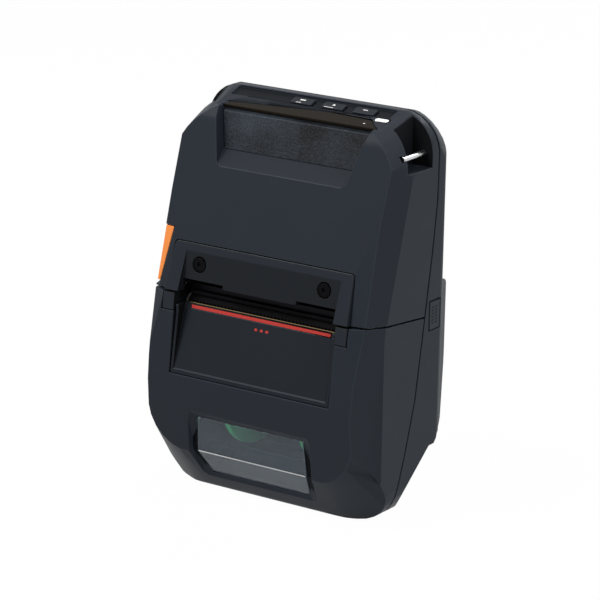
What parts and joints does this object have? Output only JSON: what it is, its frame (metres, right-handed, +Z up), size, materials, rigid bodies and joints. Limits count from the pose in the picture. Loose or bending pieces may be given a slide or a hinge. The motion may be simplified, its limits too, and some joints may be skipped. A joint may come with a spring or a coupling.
{
  "type": "portable receipt printer",
  "caption": "Hand-held thermal receipt printer standing on end: faceted clamshell case, hinged roll cover with window, head bezel, tear edge, keys, strap pins and side port flap.",
  "frame": {"origin": "centre of the bounding box at the base the printer stands on", "axes": "+Z up along the printer's length, -Y out of the front with the paper mouth, +X to the right seen from the front"},
  "size_m": [0.117, 0.072, 0.1743],
  "materials": {
    "case": "fine matte texture",
    "frame": "matte",
    "steel": "satin",
    "rubber": "matte",
    "gear": "satin",
    "guide": "satin",
    "lever": "satin",
    "board": "satin",
    "gloss": "smoked gloss",
    "head": "glazed",
    "sink": "bare",
    "stripe": "matte",
    "key": "matte",
    "white": "matte",
    "tear": "tan coated"
  },
  "bodies": {
    "printer": {"back_shell": "case", "front_shell": "case", "head_bezel": "frame", "bezel_screw_left": "steel", "bezel_screw_right": "steel", "grip_panel": "frame", "display_lens": "gloss", "display_module": "frame", "keypad_plate": "rubber", "strap_pin_left": "steel", "strap_pin_right": "steel", "main_board": "board", "battery_contacts": "frame", "port_socket": "steel", "mechanism_frame": "frame", "feed_motor": "steel", "hinge_pin_left": "steel", "hinge_pin_right": "steel", "roll_bay_frame": "frame"},
    "cover": {"cover_shell": "case", "cover_frame": "frame", "ramp_panel": "frame", "warning_stripe": "stripe", "tear_bar": "tear", "paper_window": "gloss", "roller_bearing_left": "gear", "roller_bearing_right": "gear"},
    "platen": {"platen_sleeve": "rubber", "platen_shaft": "steel", "platen_gear": "gear"},
    "idler": {"idler_gear": "gear"},
    "motor_rotor": {"motor_pinion": "gear"},
    "head": {"print_head": "head", "heat_sink": "sink", "head_spring_left": "steel", "head_spring_right": "steel"},
    "latch": {"latch_shaft": "steel", "latch_hook_left": "steel", "latch_hook_right": "steel"},
    "lever": {"release_lever": "lever"},
    "key_one": {"key_left": "key"},
    "key_two": {"key_middle": "key"},
    "key_three": {"key_right": "key"},
    "power": {"power_key": "white"},
    "flap": {"port_flap": "case"},
    "battery": {"battery_pack": "frame"},
    "battery_catch": {"battery_latch": "key"},
    "guide_a": {"roll_guide_left": "guide"},
    "guide_b": {"roll_guide_right": "guide"},
    "guide_wheel": {"guide_pinion": "gear"}
  },
  "joints": [
    {"name": "cover_hinge", "type": "hinge", "parent": "printer", "child": "cover", "pos_m": [0, -0.0004, 0.007], "axis": [1, 0, 0], "range_deg": [0, 72]},
    {"name": "platen_spin", "type": "hinge", "parent": "cover", "child": "platen", "pos_m": [0, -0.0174, 0.082], "axis": [1, 0, 0], "continuous": true},
    {"name": "idler_spin", "type": "hinge", "parent": "printer", "child": "idler", "pos_m": [0.0495, -0.00233, 0.08542], "axis": [1, 0, 0], "continuous": true},
    {"name": "motor_spin", "type": "hinge", "parent": "printer", "child": "motor_rotor", "pos_m": [0.0495, 0.00021, 0.0974], "axis": [1, 0, 0], "continuous": true},
    {"name": "head_pivot", "type": "hinge", "parent": "printer", "child": "head", "pos_m": [0, -0.0069, 0.0925], "axis": [-1, 0, 0], "range_deg": [0, 2], "stiffness_Nm_per_rad": 2, "springref_deg": -2.86},
    {"name": "latch_turn", "type": "hinge", "parent": "printer", "child": "latch", "pos_m": [0, 0.0116, 0.093], "axis": [-1, 0, 0], "range_deg": [0, 8], "stiffness_Nm_per_rad": 0.3, "springref_deg": -8.59},
    {"name": "lever_press", "type": "hinge", "parent": "printer", "child": "lever", "pos_m": [-0.051, -0.0124, 0.1185], "axis": [1, 0, 0], "range_deg": [0, 4.1]},
    {"name": "key_left_press", "type": "slide", "parent": "printer", "child": "key_one", "axis": [0, 0.3714, -0.9285], "range_m": [0, 0.0012], "stiffness_N_per_m": 400, "springref_m": -0.0005},
    {"name": "key_middle_press", "type": "slide", "parent": "printer", "child": "key_two", "axis": [0, 0.3714, -0.9285], "range_m": [0, 0.0012], "stiffness_N_per_m": 400, "springref_m": -0.0005},
    {"name": "key_right_press", "type": "slide", "parent": "printer", "child": "key_three", "axis": [0, 0.3714, -0.9285], "range_m": [0, 0.0012], "stiffness_N_per_m": 400, "springref_m": -0.0005},
    {"name": "power_press", "type": "slide", "parent": "printer", "child": "power", "axis": [0, 0.3714, -0.9285], "range_m": [0, 0.0012], "stiffness_N_per_m": 400, "springref_m": -0.0005},
    {"name": "flap_turn", "type": "hinge", "parent": "printer", "child": "flap", "pos_m": [0.0585, 0.0246, 0.086], "axis": [0, 0, 1], "range_deg": [0, 100]},
    {"name": "battery_tilt", "type": "hinge", "parent": "printer", "child": "battery", "pos_m": [0, 0.0296, 0.104], "axis": [-1, 0, 0], "range_deg": [0, 35]},
    {"name": "battery_catch_slide", "type": "slide", "parent": "printer", "child": "battery_catch", "axis": [0, 0, 1], "range_m": [0, 0.003], "stiffness_N_per_m": 150, "springref_m": -0.002},
    {"name": "guide_left_slide", "type": "slide", "parent": "printer", "child": "guide_a", "axis": [-1, 0, 0], "range_m": [0, 0.0224], "stiffness_N_per_m": 20, "springref_m": -0.008},
    {"name": "guide_right_slide", "type": "slide", "parent": "printer", "child": "guide_b", "axis": [1, 0, 0], "range_m": [0, 0.0224]},
    {"name": "guide_wheel_spin", "type": "hinge", "parent": "printer", "child": "guide_wheel", "pos_m": [0, 0.0186, 0.084], "axis": [0, -1, 0], "range_deg": [0, 214]}
  ],
  "couplings": [
    {"joint": "idler_spin", "follows": "platen_spin", "ratio": -0.9},
    {"joint": "motor_spin", "follows": "platen_spin", "ratio": 1.8},
    {"joint": "lever_press", "follows": "latch_turn", "ratio": 0.5},
    {"joint": "guide_right_slide", "follows": "guide_left_slide", "ratio": 1},
    {"joint": "guide_wheel_spin", "follows": "guide_left_slide", "rad_per_m": 166.67}
  ]
}
